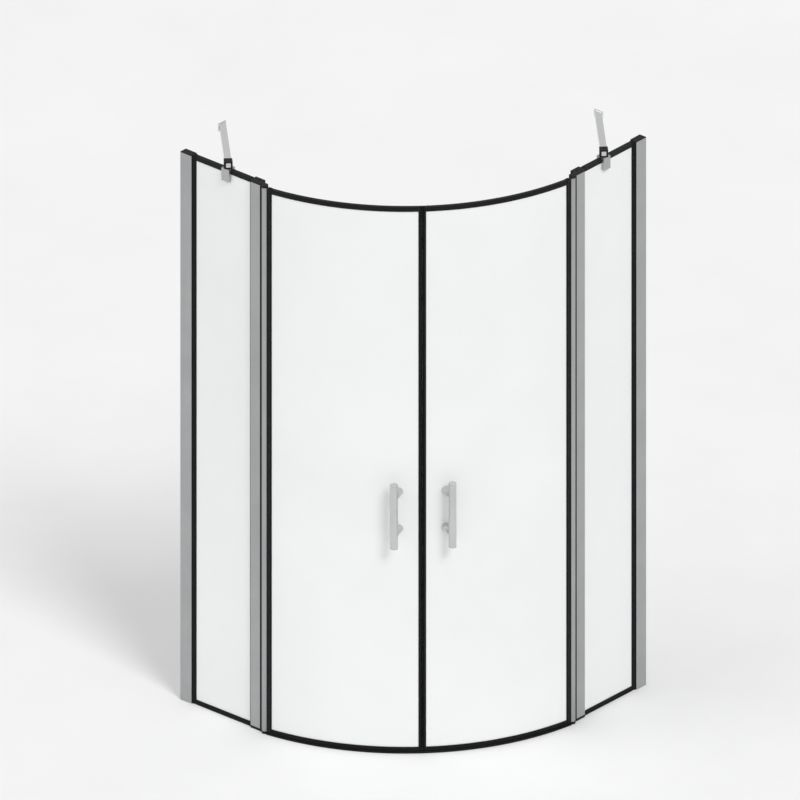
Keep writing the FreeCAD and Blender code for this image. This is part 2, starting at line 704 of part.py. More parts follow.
def swivel_block():
    """Cube on the clamp that turns to the arm, with a spigot inside the arm."""
    half = BLOCK_W / 2
    top = CLAMP_TOP + BLOCK_H
    body = eased(skewed_block(-half, half, half, CLAMP_TOP, top), BLOCK_EDGE)
    window = WINDOW_W / 2
    body = body.cut(skewed_block(-half, WINDOW_DEEP - half, window, ARM_Z - window, ARM_Z + window))
    body = body.fuse(skewed_block(half - PAST, half + SPIGOT_LEN, SPIGOT_HALF,
                                  ARM_Z - SPIGOT_HALF, ARM_Z + SPIGOT_HALF))
    body = body.cut(peg_at(GRUB_R + FIT, CLAMP_TOP, top, CLAMP_T, 0))
    return body.cut(peg_at(CAP_SCREW_R + FIT, top - CAP_SCREW_H, top, CLAMP_T, 0))


def behind_foot_plate():
    """The space of the wall foot's plate and the wall, which cuts the arm to its mitre."""
    return block(-CLAMP_T, FOOT_PLATE_T, -SIZE, SIZE, ARM_Z - ARM_W, ARM_Z + ARM_W)


def brace_arm():
    half = ARM_W / 2
    bore = half - ARM_WALL
    length = ARM_RUN + ARM_W
    start = BLOCK_W / 2
    body = eased(skewed_block(start, length, half, ARM_Z - half, ARM_Z + half), ARM_EDGE, V(-1, 1, 0))
    body = body.cut(skewed_block(start, length, bore, ARM_Z - bore, ARM_Z + bore))
    return body.cut(behind_foot_plate())


def wall_foot():
    """Plate on the wall with two cheeks that the arm slides over."""
    off = FOOT_D - PANE_D
    half_w = FOOT_PLATE_W / 2
    half_h = FOOT_PLATE_H / 2
    body = block(0, FOOT_PLATE_T, off - half_w, off + half_w, ARM_Z - half_h, ARM_Z + half_h)
    cheeks = skewed_block(ARM_RUN - SPIGOT_LEN - ARM_W, ARM_RUN, SPIGOT_HALF,
                          ARM_Z - SPIGOT_HALF, ARM_Z + SPIGOT_HALF)
    gap = SPIGOT_HALF - CHEEK_T
    cheeks = cheeks.cut(skewed_block(0, ARM_RUN, SPIGOT_HALF, ARM_Z - gap, ARM_Z + gap))
    body = body.fuse(cheeks.cut(behind_foot_plate()))
    hole = Part.makeCylinder(WALL_HOLE_R, FOOT_PLATE_T, plan(0, FOOT_D, ARM_Z), V(1, 0, 0))
    return body.cut(hole).removeSplitter()


# ---------------------------------------------------------------- assembly

SIDE_PIECES = {
    "wall_channel": wall_channel,
    "glazing_profile": glazing_profile,
    "wall_gasket": wall_gasket,
    "fixed_pane": fixed_pane,
    "sill_seal": sill_seal,
    "pane_top_trim": pane_top_trim,
    "post_gasket": post_gasket,
    "hinge_post": hinge_post,
    "lip_seal": lip_seal,
    "upper_pivot_bracket": upper_bracket,
    "lower_pivot_bracket": lower_bracket,
    "clamp_body": clamp_body,
    "clamp_pressure_plate": pressure_plate,
    "swivel_block": swivel_block,
    "brace_arm": brace_arm,
    "wall_foot": wall_foot,
    "door_stile": door_stile,
    "pivot_bushes": pivot_bushes,
    "stile_gasket": stile_gasket,
    "door_pane": door_pane,
    "magnet_seal": magnet_seal,
    "magnet_strip": magnet_box,
    "drip_seal": drip_seal,
    "door_top_trim": door_top_trim,
    "handle_bar": handle_bar,
    "handle_feet": handle_feet,
    "handle_studs": handle_studs,
}

SHARED_GROUPS = {
    "profile_caps": lambda: [profile_cap()],
    "frame_screws": lambda: bracket_screws() + lock_screws(),
    "pivot_pins": pivot_pins,
    "clamp_pads": clamp_pads,
    "clamp_screws": clamp_screws,
}


def solids_of(result):
    if isinstance(result, list):
        return [solid for one in result for solid in one.Solids]
    return result.Solids


def mirrored(solid):
    """The same piece on the other side of the diagonal."""
    return solid.mirror(V(0, 0, 0), V(1, 1, 0))


def export(name, solids):
    shape = solids[0] if len(solids) == 1 else Part.makeCompound(solids)
    shape.exportStep("parts/" + name + ".step")


os.makedirs("parts", exist_ok=True)
for piece, make in SIDE_PIECES.items():
    left = solids_of(make())
    export("left_" + piece, left)
    export("right_" + piece, [mirrored(one) for one in left])
for group, make in SHARED_GROUPS.items():
    left = solids_of(make())
    export(group, left + [mirrored(one) for one in left])
export("threshold", solids_of(threshold()))
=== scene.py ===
import bpy, bmesh, json, math
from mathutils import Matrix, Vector


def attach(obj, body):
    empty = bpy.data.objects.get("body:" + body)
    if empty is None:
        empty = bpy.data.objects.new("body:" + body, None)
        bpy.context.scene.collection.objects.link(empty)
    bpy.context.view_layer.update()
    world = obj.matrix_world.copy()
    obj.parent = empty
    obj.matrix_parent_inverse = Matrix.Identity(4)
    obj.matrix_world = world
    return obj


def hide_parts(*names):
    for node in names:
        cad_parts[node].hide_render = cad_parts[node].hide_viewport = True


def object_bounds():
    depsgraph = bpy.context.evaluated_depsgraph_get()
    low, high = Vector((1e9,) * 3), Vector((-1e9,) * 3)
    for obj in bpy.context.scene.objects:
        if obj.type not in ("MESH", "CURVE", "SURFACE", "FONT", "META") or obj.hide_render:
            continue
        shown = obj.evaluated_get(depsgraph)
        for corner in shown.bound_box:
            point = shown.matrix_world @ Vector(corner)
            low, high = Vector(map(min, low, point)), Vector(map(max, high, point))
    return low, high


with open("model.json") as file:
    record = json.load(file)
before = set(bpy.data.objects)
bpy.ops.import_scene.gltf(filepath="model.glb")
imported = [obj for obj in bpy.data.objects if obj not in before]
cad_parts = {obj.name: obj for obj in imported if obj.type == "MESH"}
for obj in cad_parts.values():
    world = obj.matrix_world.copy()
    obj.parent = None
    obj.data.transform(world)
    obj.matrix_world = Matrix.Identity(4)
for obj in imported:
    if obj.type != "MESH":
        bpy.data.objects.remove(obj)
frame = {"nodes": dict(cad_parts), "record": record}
CAD_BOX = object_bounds()
NODES = frame["nodes"]
SIDES = ("left", "right")

# View: a parallel projection, placed by the back corner of the footprint
IMAGE = 800                       # pixels across
CORNER_PIXEL = (397.35, 585.38)   # where the back corner is seen
PIXELS_PER_METRE = 332.9
AZIMUTH = math.radians(41.1)
ELEVATION = math.radians(27.19)
CAMERA_DISTANCE = 7.0


# ---------------------------------------------------------------- materials

def material(name):
    """A new material with its node tree, shader and a coordinate that is the place in metres."""
    made = bpy.data.materials.new(name)
    made.use_nodes = True
    tree = made.node_tree
    shader = tree.nodes["Principled BSDF"]
    place = tree.nodes.new("ShaderNodeTexCoord").outputs["Object"]
    return made, tree, shader, place


def noise(tree, place, scale, detail=3.0, roughness=0.55):
    """Noise whose scale is cycles per metre, one number or one for each axis."""
    steps = scale if isinstance(scale, tuple) else (scale,) * 3
    stretch = tree.nodes.new("ShaderNodeMapping")
    stretch.inputs["Scale"].default_value = steps
    tree.links.new(place, stretch.inputs["Vector"])
    made = tree.nodes.new("ShaderNodeTexNoise")
    made.inputs["Scale"].default_value = 1.0
    made.inputs["Detail"].default_value = detail
    made.inputs["Roughness"].default_value = roughness
    tree.links.new(stretch.outputs["Vector"], made.inputs["Vector"])
    return made.outputs["Fac"]


def spread(tree, value, low, high, start=0.3, end=0.7):
    """A noise value turned into numbers from low to high."""
    made = tree.nodes.new("ShaderNodeMapRange")
    made.inputs["From Min"].default_value = start
    made.inputs["From Max"].default_value = end
    made.inputs["To Min"].default_value = low
    made.inputs["To Max"].default_value = high
    tree.links.new(value, made.inputs["Value"])
    return made.outputs["Result"]


def tones(tree, value, dark, light, start=0.3, end=0.7):
    """A noise value turned into colours from dark to light."""
    made = tree.nodes.new("ShaderNodeValToRGB")
    low, high = made.color_ramp.elements
    low.position, high.position = start, end
    low.color, high.color = (*dark, 1), (*light, 1)
    tree.links.new(value, made.inputs["Fac"])
    return made.outputs["Color"]


def relief(tree, shader, height, depth, strength):
    """Bump of the given depth in metres."""
    made = tree.nodes.new("ShaderNodeBump")
    made.inputs["Strength"].default_value = strength
    made.inputs["Distance"].default_value = depth
    tree.links.new(height, made.inputs["Height"])
    tree.links.new(made.outputs["Normal"], shader.inputs["Normal"])


STREAK_SHARE = 0.6        # of a drawn metal's tone; clouds give the rest


def drawn_metal(name, dark, light, lines, rough, metallic, depth):
    """Metal with fine draw lines over faint clouds; lines gives the cycles per metre."""
    made, tree, shader, place = material(name)
    shader.inputs["Metallic"].default_value = metallic
    streaks = noise(tree, place, lines, detail=4.0, roughness=0.6)
    clouds = noise(tree, place, 9.0)
    both = tree.nodes.new("ShaderNodeMath")
    both.operation = "ADD"
    tree.links.new(spread(tree, streaks, 0.0, STREAK_SHARE), both.inputs[0])
    tree.links.new(spread(tree, clouds, 0.0, 1 - STREAK_SHARE), both.inputs[1])
    tree.links.new(tones(tree, both.outputs[0], dark, light, start=0.0, end=1.0),
                   shader.inputs["Base Color"])
    tree.links.new(spread(tree, streaks, *rough), shader.inputs["Roughness"])
    relief(tree, shader, streaks, depth, strength=0.5)
    return made


def moulded(name, dark, light, rough, shine, grain=900.0):
    """Rubber or plastic with a fine grain and faint handling marks; shine is its specular level."""
    made, tree, shader, place = material(name)
    shader.inputs["Specular IOR Level"].default_value = shine
    fine = noise(tree, place, grain, detail=2.0)
    broad = noise(tree, place, 14.0, detail=4.0)
    tree.links.new(tones(tree, broad, dark, light), shader.inputs["Base Color"])
    tree.links.new(spread(tree, broad, *rough), shader.inputs["Roughness"])
    relief(tree, shader, fine, depth=0.00006, strength=0.6)
    return made


def satin_glass():
    """White satin glass: an even etched face with a little light through it."""
    made, tree, shader, place = material("satin_glass")
    etched = noise(tree, place, 1500.0, detail=2.0)
    clouds = noise(tree, place, 3.0, detail=2.0)
    shader.inputs["IOR"].default_value = 1.52
    shader.inputs["Transmission Weight"].default_value = 0.12
    tree.links.new(tones(tree, clouds, dark=(0.9, 0.92, 0.918), light=(0.935, 0.95, 0.948)),
                   shader.inputs["Base Color"])
    tree.links.new(spread(tree, etched, 0.34, 0.46), shader.inputs["Roughness"])
    relief(tree, shader, etched, depth=0.00002, strength=0.5)
    return made


UPRIGHT = (1400.0, 1400.0, 5.0)   # draw lines of an upright extrusion
GLASS = satin_glass()
ALUMINIUM = drawn_metal(
    "anodised_aluminium", dark=(0.335, 0.34, 0.345), light=(0.425, 0.43, 0.435),
    lines=UPRIGHT, rough=(0.34, 0.48), metallic=0.6, depth=0.00003)
CHROME = drawn_metal(
    "satin_chrome", dark=(0.54, 0.545, 0.55), light=(0.64, 0.645, 0.65),
    lines=UPRIGHT, rough=(0.2, 0.32), metallic=0.92, depth=0.00002)
ARM_CHROME = drawn_metal(
    "bright_chrome", dark=(0.74, 0.745, 0.75), light=(0.84, 0.845, 0.85),
    lines=(300.0, 300.0, 900.0), rough=(0.16, 0.28), metallic=0.92, depth=0.00002)
CLAMP_CHROME = drawn_metal(
    "blasted_chrome", dark=(0.4, 0.405, 0.41), light=(0.5, 0.505, 0.51),
    lines=700.0, rough=(0.34, 0.46), metallic=0.92, depth=0.00003)
STEEL = drawn_metal(
    "stainless_steel", dark=(0.5, 0.5, 0.49), light=(0.62, 0.62, 0.61),
    lines=600.0, rough=(0.2, 0.34), metallic=1.0, depth=0.00002)
BLACK_STEEL = drawn_metal(
    "blackened_steel", dark=(0.012, 0.012, 0.013), light=(0.03, 0.03, 0.032),
    lines=600.0, rough=(0.3, 0.42), metallic=0.8, depth=0.00002)
RUBBER = moulded(
    "black_rubber", dark=(0.004, 0.004, 0.0045), light=(0.009, 0.009, 0.0095),
    rough=(0.5, 0.66), shine=0.14)
TRIM = moulded(
    "black_trim", dark=(0.004, 0.004, 0.0045), light=(0.007, 0.007, 0.008),
    rough=(0.36, 0.48), shine=0.16)
NYLON = moulded(
    "black_nylon", dark=(0.006, 0.006, 0.0065), light=(0.012, 0.012, 0.013),
    rough=(0.42, 0.58), shine=0.2, grain=600.0)
ACETAL = moulded(
    "white_acetal", dark=(0.78, 0.78, 0.76), light=(0.84, 0.84, 0.82),
    rough=(0.3, 0.42), shine=0.5)
MAGNET = moulded(
    "magnet_strip", dark=(0.012, 0.0115, 0.011), light=(0.02, 0.019, 0.018),
    rough=(0.55, 0.7), shine=0.2)

FINISH = {
    "satin_aluminium": ALUMINIUM,
    "satin_chrome": CHROME,
    "satin_glass": GLASS,
    "black_rubber": RUBBER,
    "black_trim": TRIM,
    "black_nylon": NYLON,
    "stainless": STEEL,
    "acetal": ACETAL,
    "magnet": MAGNET,
}

# Nodes with a finish of their own, by the name without its side
OWN_FINISH = {
    "brace_arm": ARM_CHROME,
    "wall_foot": ARM_CHROME,
    "clamp_body": CLAMP_CHROME,
}


def finish_nodes():
    """The material of each carried-over node, by its name or else its slot."""
    for part in frame["record"]["subparts"]:
        mesh = NODES[part["node"]].data
        name = part["node"].partition("_")[2]
        mesh.materials.clear()
        mesh.materials.append(OWN_FINISH.get(name, FINISH[part["material_slot"]]))


# ---------------------------------------------------------------- edges of the CAD pieces

EDGE_RADIUS = {
    "satin_aluminium": 0.0004,
    "satin_chrome": 0.0005,
    "satin_glass": 0.0005,
    "black_rubber": 0.0004,
    "black_trim": 0.0005,
    "black_nylon": 0.0006,
}
EDGE_FROM = math.radians(40)      # a sharper turn than this is an edge
SAME_POINT = 0.00001


def soften_nodes():
    """A small radius on each sharp edge of a carried-over node.

    The curved panes have long facets that start at the handle's holes, so their normals go by
    the area of the faces, which keeps the glass free of streaks.
    """
    for part in frame["record"]["subparts"]:
        radius = EDGE_RADIUS.get(part["material_slot"])
        if radius is None:
            continue
        node = NODES[part["node"]]
        weld = node.modifiers.new("weld", "WELD")
        weld.merge_threshold = SAME_POINT
        bevel = node.modifiers.new("bevel", "BEVEL")
        bevel.width = radius
        bevel.segments = 2
        bevel.limit_method = "ANGLE"
        bevel.angle_limit = EDGE_FROM
        curved = part["node"].endswith("door_pane")
        bevel.harden_normals = not curved
        if curved:
            even = node.modifiers.new("even", "WEIGHTED_NORMAL")
            even.mode = "FACE_AREA"
            even.keep_sharp = True


# ---------------------------------------------------------------- places

HALF = 0.5                # middle of the footprint to its back edges
PANE_D = 0.9795           # middle plane of a fixed pane
ARC_C = 0.24548           # centre of the door arc, from both back edges
DOOR_R = 0.75             # door arc, in the middle of the glass
GLASS_HALF = 0.004
MEET_ANGLE = math.pi / 4


def plan(t, d, z):
    """The point at t along the left fixed pane and d across it, each from its back edge."""
    return Vector((t - HALF, HALF - d, z))


def polar(radius, angle, z):
    """The point at a radius and an angle about the centre of the door arc."""
    return plan(ARC_C + radius * math.cos(angle), ARC_C + radius * math.sin(angle), z)


def twin(point):
    """The same place on the right-hand side, across the diagonal."""
    return Vector((-point.y, -point.x, point.z))


# ---------------------------------------------------------------- skins

ROUND = 64                # points round a foot or a cover
TURNED = 96               # points round a turned piece
SHARP_FROM = math.radians(32)


def grid_of(rings):
    """Vertices and faces of a closed skin through rings of points; a ring of one point is a tip."""
    points = [p for ring in rings for p in ring]
    starts = [sum(len(r) for r in rings[:i]) for i in range(len(rings))]
    faces = []
    for i in range(1, len(rings)):
        below, above = starts[i - 1], starts[i]
        n, m = len(rings[i - 1]), len(rings[i])
        for k in range(max(n, m)):
            j = (k + 1) % max(n, m)
            face = [below + k % n, below + j % n, above + j % m, above + k % m]
            faces.append(list(dict.fromkeys(face)))
    for start, ring, back in ((starts[0], rings[0], True), (starts[-1], rings[-1], False)):
        if len(ring) > 1:
            cap = [start + k for k in range(len(ring))]
            faces.append(cap[::-1] if back else cap)
    return points, faces


def turned(profile, base, axis):
    """Rings about an axis from (height, radius) pairs; a radius may be a function of the angle."""
    axis = Vector(axis).normalized()
    side = axis.orthogonal().normalized()
    other = axis.cross(side)
    rings = []
    for height, radius in profile:
        middle = Vector(base) + axis * height
        if radius == 0:
            rings.append([middle])
            continue
        ring = []
        for k in range(TURNED):
            a = 2 * math.pi * k / TURNED
            r = radius(a) if callable(radius) else radius
            ring.append(middle + (side * math.cos(a) + other * math.sin(a)) * r)
        rings.append(ring)
    return grid_of(rings)


def both_sides(skins):
    """The left-hand skins and their right-hand twins."""
    return skins + [([twin(p) for p in points], faces) for points, faces in skins]


def add_piece(name, skins, body, slot, flip=False, nodes=()):
    """One object from several closed skins, on a body; flip gives the right-hand twin."""
    points, faces = [], []
    for skin_points, skin_faces in skins:
        start = len(points)
        points += [twin(p) if flip else p for p in skin_points]
        faces += [[start + i for i in f] for f in skin_faces]
    mesh = bpy.data.meshes.new(name)
    mesh.from_pydata([tuple(p) for p in points], [], faces)
    shape = bmesh.new()
    shape.from_mesh(mesh)
    bmesh.ops.recalc_face_normals(shape, faces=shape.faces)
    shape.to_mesh(mesh)
    shape.free()
    mesh.shade_smooth()
    mesh.set_sharp_from_angle(angle=SHARP_FROM)
    mesh.materials.append(FINISH[slot])
    piece = bpy.data.objects.new(name, mesh)
    bpy.context.scene.collection.objects.link(piece)
    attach(piece, body)
    if nodes:
        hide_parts(*nodes)
    return piece


def rounded_rim(height, radius, edge, steps):
    """Profile of a rim whose corner is an arc, ending flat at the height."""
    turns = [math.pi / 2 * i / steps for i in range(steps + 1)]
    return [(height - edge + edge * math.sin(a), radius - edge + edge * math.cos(a)) for a in turns]


# ---------------------------------------------------------------- handles

BAR_R = 0.012
BAR_LEN = 0.215
BAR_Z = 0.820             # floor to the middle of the bar
BAR_SETBACK = 0.083       # meeting edge to the bar, along the glass
BAR_LEAN = 0.012          # how far the feet lean from the glass to the bar
BAR_REACH = 0.045         # glass to the middle of the bar
BAR_EDGE = 0.0006
JOINT_START = 0.0022      # end of the bar to the joint line of its plug
JOINT_WIDTH = 0.0010
JOINT_SLOPE = 0.0002
JOINT_DEPTH = 0.0005
FOOT_SPACING = 0.125
FOOT_R = 0.0145           # at the glass
NECK_R = 0.0105           # at the bar
FOOT_EDGE = 0.0008
FOOT_EDGE_MIDDLE = 0.3    # share of the edge where it turns
FOOT_MIDDLE = 0.012       # seat to the ring halfway up the foot
FOOT_TOP = (1, 0.6, 0.2)          # rings of its hollow top, as shares of its radius
FOOT_GAP = 0.00005        # glass to the foot
BAR_GAP = 0.00003         # bar to the foot
KNOB_R = 0.014
KNOB_H = 0.012
KNOB_EDGE = 0.0025
KNOB_CHAMFER = 0.0004
KNOB_GAP = 0.0002         # glass to the knob
KNOB_DISH_R = 0.0085
KNOB_DISH = (0.0006, 0.0008)      # depth of the dish at its rim and in its middle
STUD_R = 0.004


def bar_axis(z):
    """The middle of the bar at a height."""
    return polar(DOOR_R + GLASS_HALF + BAR_REACH, MEET_ANGLE + BAR_SETBACK / DOOR_R, z)


def handle_bar():
    """Round bar with the joint line of the plug at each end."""
    joint_end = JOINT_START + JOINT_WIDTH
    joint = [(joint_end, 0), (joint_end - JOINT_SLOPE, JOINT_DEPTH),
             (JOINT_START + JOINT_SLOPE, JOINT_DEPTH), (JOINT_START, 0)]
    rim = [(BAR_LEN - back, BAR_R - depth) for back, depth in joint]
    rim += rounded_rim(BAR_LEN, BAR_R, BAR_EDGE, steps=4)
    foot = [(BAR_LEN - height, radius) for height, radius in reversed(rim)]
    profile = [(0, 0)] + foot + rim + [(BAR_LEN, 0)]
    return turned(profile, bar_axis(BAR_Z - BAR_LEN / 2), (0, 0, 1))


def foot_place(sign):
    """The middle of the glass at a foot, with sign -1 for the lower one, and the way out of it."""
    angle = MEET_ANGLE + (BAR_SETBACK - BAR_LEAN) / DOOR_R
    z = BAR_Z + sign * FOOT_SPACING / 2
    middle = polar(DOOR_R, angle, z)
    return middle, (polar(DOOR_R + 1, angle, z) - middle).normalized()


def handle_foot(sign):
    """Leaning tapered foot, trimmed flat on the glass and hollow against the bar."""
    middle, out = foot_place(sign)
    top = bar_axis(middle.z)
    lean = (top - middle).normalized()
    side = lean.orthogonal().normalized()
    other = lean.cross(side)
    seat = GLASS_HALF + FOOT_GAP

    def lines(share):
        """Straight lines up the foot at a share of its radius, each a start and a run."""
        for k in range(ROUND):
            a = 2 * math.pi * k / ROUND
            way = side * math.cos(a) + other * math.sin(a)
            low, high = middle + way * FOOT_R * share, top + way * NECK_R * share
            yield low, high - low

    def off_glass(share, lift):
        """The ring where the lines are at a height over the seat."""
        return [low + run * ((seat + lift - (low - middle).dot(out)) / run.dot(out))
                for low, run in lines(share)]

    def on_bar(share):
        """The ring where the lines meet the bar."""
        ring = []
        for low, run in lines(share):
            flat_low, flat_run = (low - top).xy, run.xy
            half_b = flat_low.dot(flat_run)
            c = flat_low.length_squared - (BAR_R + BAR_GAP) ** 2
            root = math.sqrt(half_b ** 2 - flat_run.length_squared * c)
            ring.append(low + run * ((-half_b - root) / flat_run.length_squared))
        return ring

    inset = FOOT_EDGE / FOOT_R
    rings = [[middle + (top - middle) * (seat / (top - middle).dot(out))]]
    rings += [off_glass(1 - inset, 0),
              off_glass(1 - FOOT_EDGE_MIDDLE * inset, FOOT_EDGE_MIDDLE * FOOT_EDGE),
              off_glass(1, FOOT_EDGE), off_glass(1, FOOT_MIDDLE)]
    rings += [on_bar(share) for share in FOOT_TOP]
    return grid_of(rings)


def handle_knob(sign):
    """Knob on the inside with the stud through the glass."""
    middle, out = foot_place(sign)
    start = 2 * GLASS_HALF + KNOB_GAP
    end = start + KNOB_H
    rim_depth, middle_depth = KNOB_DISH
    stud = [(0, 0), (0, STUD_R), (start, STUD_R)]
    seat = [(start, KNOB_R - KNOB_CHAMFER), (start + KNOB_CHAMFER, KNOB_R)]
    rim = [(start + height, radius)
           for height, radius in rounded_rim(KNOB_H, KNOB_R, KNOB_EDGE, steps=5)]
    dish = [(end - rim_depth, KNOB_DISH_R), (end - middle_depth, 0)]
    return turned(stud + seat + rim + dish, middle + out * GLASS_HALF, -out)


# ---------------------------------------------------------------- screws

HEIGHT = 1.850            # floor to the tops of the profiles and posts
LOCK_T = 0.020            # lock screws of the wall profile
LOCK_D = PANE_D - 0.013
LOCK_Z = (0.300, 0.925, 1.550)
PORT_T = 0.303            # screw port of the hinge post
PORT_SINK = 0.003
PAN_LEN = 0.012
PAN_TIP = 0.0015
PAN_SHANK_R = 0.0018
PAN_HEAD = ((0, 0.004), (0.001, 0.004), (0.0017, 0.0036), (0.0022, 0.0029), (0.0024, 0.0024))
PAN_RECESS = (0.0009, 0.0006)     # height of the recess's floor and of its point over the seat
PAN_RECESS_TAPER = 0.7
CROSS_ARM = 0.0021
CROSS_HALF = 0.00055
CROSS_MIN_SINE = 0.05     # keeps the ends of the arms finite
CLAMP_T = 0.180           # middle of the clamp
GRUB_D = PANE_D - 0.016
GRUB_Z = (1.8203, 1.8383)
BLOCK_TOP = 1.8763
SOCKET_CHAMFER = 0.0004
SOCKET_LEAD = (0.0003, 1.06)      # depth of the socket's lead-in and how much wider it is
SOCKET_DEPTH = (0.0026, 0.0030)   # to the end of the flats and to the point
BLACK_ABOVE = 1.8415      # above and below these heights only the upright screws have faces
BLACK_BELOW = 0.1


def hexagon(flat):
    """Radius of a hexagon by its half width across flats."""
    return lambda a: flat / math.cos((a + math.pi / 6) % (math.pi / 3) - math.pi / 6)


def cross(arm, half_width):
    """Radius of a cross with four arms."""
    def radius(a):
        fold = abs((a + math.pi / 4) % (math.pi / 2) - math.pi / 4)
        return min(arm / math.cos(fold), half_width / max(math.sin(fold), CROSS_MIN_SINE))
    return radius


def pan_head_screw(seat, way):
    """Self-tapping screw with a cross recess; way points into the metal."""
    slot = cross(CROSS_ARM, CROSS_HALF)
    top = PAN_HEAD[-1][0]
    floor, point = PAN_RECESS
    shank = [(-PAN_LEN, 0), (PAN_TIP - PAN_LEN, PAN_SHANK_R), (0, PAN_SHANK_R)]
    recess = [(top, slot), (floor, lambda a: PAN_RECESS_TAPER * slot(a)), (point, 0)]
    return turned(shank + list(PAN_HEAD) + recess, seat, -Vector(way))


def socket_screw(end, way, radius, length, flat):
    """Screw with a hexagon socket; end is its outer face and way points into the metal."""
    socket = hexagon(flat)
    lead, wider = SOCKET_LEAD
    flats_end, point = SOCKET_DEPTH
    shank = [(-length, 0), (-length, radius - SOCKET_CHAMFER), (SOCKET_CHAMFER - length, radius)]
    rim = [(-SOCKET_CHAMFER, radius), (0, radius - SOCKET_CHAMFER)]
    recess = [(0, lambda a: socket(a) * wider), (-lead, socket), (-flats_end, socket), (-point, 0)]
    return turned(shank + rim + recess, end, -Vector(way))


def frame_screws():
    """The lock screws of a wall profile, and the screws of the post's lower and upper brackets."""
    locks = [pan_head_screw(plan(LOCK_T, LOCK_D, z), (0, -1, 0)) for z in LOCK_Z]
    ends = [pan_head_screw(plan(PORT_T, PANE_D, PORT_SINK), (0, 0, 1)),
            pan_head_screw(plan(PORT_T, PANE_D, HEIGHT - PORT_SINK), (0, 0, -1))]
    return locks + ends


def clamp_screws():
    """The two grub screws of a clamp and the screw on top of its swivel block."""
    grubs = [socket_screw(plan(CLAMP_T, GRUB_D, z), (0, -1, 0),
                          radius=0.003, length=0.009, flat=0.0015) for z in GRUB_Z]
    cap = socket_screw(plan(CLAMP_T, PANE_D, BLOCK_TOP), (0, 0, -1),
                       radius=0.005, length=0.0029, flat=0.002)
    return grubs + [cap]


def blacken(piece):
    """Blackened steel for the upright screws, which sit in black pieces at the top and the foot."""
    mesh = piece.data
    mesh.materials.append(BLACK_STEEL)
    for face in mesh.polygons:
        if face.center.z > BLACK_ABOVE or face.center.z < BLACK_BELOW:
            face.material_index = 1


# ---------------------------------------------------------------- swivel covers

ARM_Z = 1.8643
COVER_HALF = 0.0073
COVER_BACK = 0.0119       # middle of the block to the cover's two faces
COVER_FRONT = 0.0128
COVER_EDGE = ((0.0004, 0), (0.0001, 0.0002), (0, 0.0005))     # behind the face, and inwards
COVER_POWER = 9.0                 # of its outline: 2 is round, and more is squarer
COVER_DISH = ((0.0045, 3.0), (0.0036, 2.0))     # half width and power, at the face and the floor
COVER_DISH_DEPTH = 0.0003


def along_arm(a, b, z):
    """The point at a towards the wall foot and b across, from the middle of the clamp."""
    c = math.sqrt(0.5)
    return plan(CLAMP_T - (a - b) * c, PANE_D - (a + b) * c, z)


def swivel_cover():
    """Square plate with round corners, its face edge eased and a shallow dish in the middle."""
    def ring(a, half, power):
        """The outline at a distance from the middle of the block, away from the arm."""
        points = []
        for k in range(ROUND):
            turn = 2 * math.pi * k / ROUND
            c, s = math.cos(turn), math.sin(turn)
            r = half / (abs(c) ** power + abs(s) ** power) ** (1 / power)
            points.append(along_arm(-a, r * c, ARM_Z + r * s))
        return points

    floor = COVER_FRONT - COVER_DISH_DEPTH
    rim, bottom = COVER_DISH
    rings = [[along_arm(-COVER_BACK, 0, ARM_Z)], ring(COVER_BACK, COVER_HALF, COVER_POWER)]
    rings += [ring(COVER_FRONT - behind, COVER_HALF - inset, COVER_POWER)
              for behind, inset in COVER_EDGE]
    rings += [ring(COVER_FRONT, *rim), ring(floor, *bottom), [along_arm(-floor, 0, ARM_Z)]]
    return grid_of(rings)


# ---------------------------------------------------------------- rubber at the edges

RUBBER_GAP = 0.00005      # rubber to what it covers
GLASS_SKIN = GLASS_HALF + RUBBER_GAP
GLASS_TOP = 1.848
POST_TOP = 1.842          # top of the post's extrusion, and of the doors
END_T = (0.27175, 0.27995)        # the bare end of the pane, from its trim to the post
TRIM_HALF = 0.006
TRIM_EDGE = 0.0006
SILL_BASE = 0.005
SILL_TOP = 0.00795
SILL_FOOT = (0.008, 0.0025)       # half width and height
WALL_CAP = ((0.04405, 0.0101), (0.05825, 0.0052))     # along the pane, and half width
SLAB_EDGE = 0.0004
SLAB_EDGE_MIDDLE = 0.4    # share of the edge where it turns
PIVOT_T = 0.336
PIVOT_D = 0.990
PIVOT_ANGLE = math.atan2(PIVOT_D - ARC_C, PIVOT_T - ARC_C)
STILE_BOTTOM = 0.0098
STILE_TOP = 1.8402
STILE_HALF = 0.0085
STILE_CAP = ((0.0105, 0.0082), (0.0199, 0.0082), (0.0272, 0.0057))    # along, and half width
STILE_CAP_ROOM = 0.0001   # cap to the top of the door
FLANGE_S = (0.011, 0.0202)        # the flange along the door
FLANGE_T = 0.0006
FLANGE_TOE = (0.0001, 0.0005)     # thickness at its start, and the length of the slope there
FLANGE_GAP = 0.00003
FLANGE_STEPS = 4
MEET_GAP = 0.0008         # between the two magnet seals
SEAL_HALF = 0.0055
LIP_SKIN = 0.00038        # soft lip on the nose of each magnet seal
LIP_GAP = 0.00002
LIP_BOTTOM = 0.0065
LIP_TIP = (0.3, 3)        # share of the skin at the outer edge, and its growth inwards
LIP_STEPS = 8
LIP_SEARCH = 0.05         # radians in which the nose lies
LIP_HALVINGS = 40


def on_door(s, off, z):
    """The point at s along the door from its pivot and off outwards from mid-glass."""
    return polar(DOOR_R + off, PIVOT_ANGLE - s / DOOR_R, z)


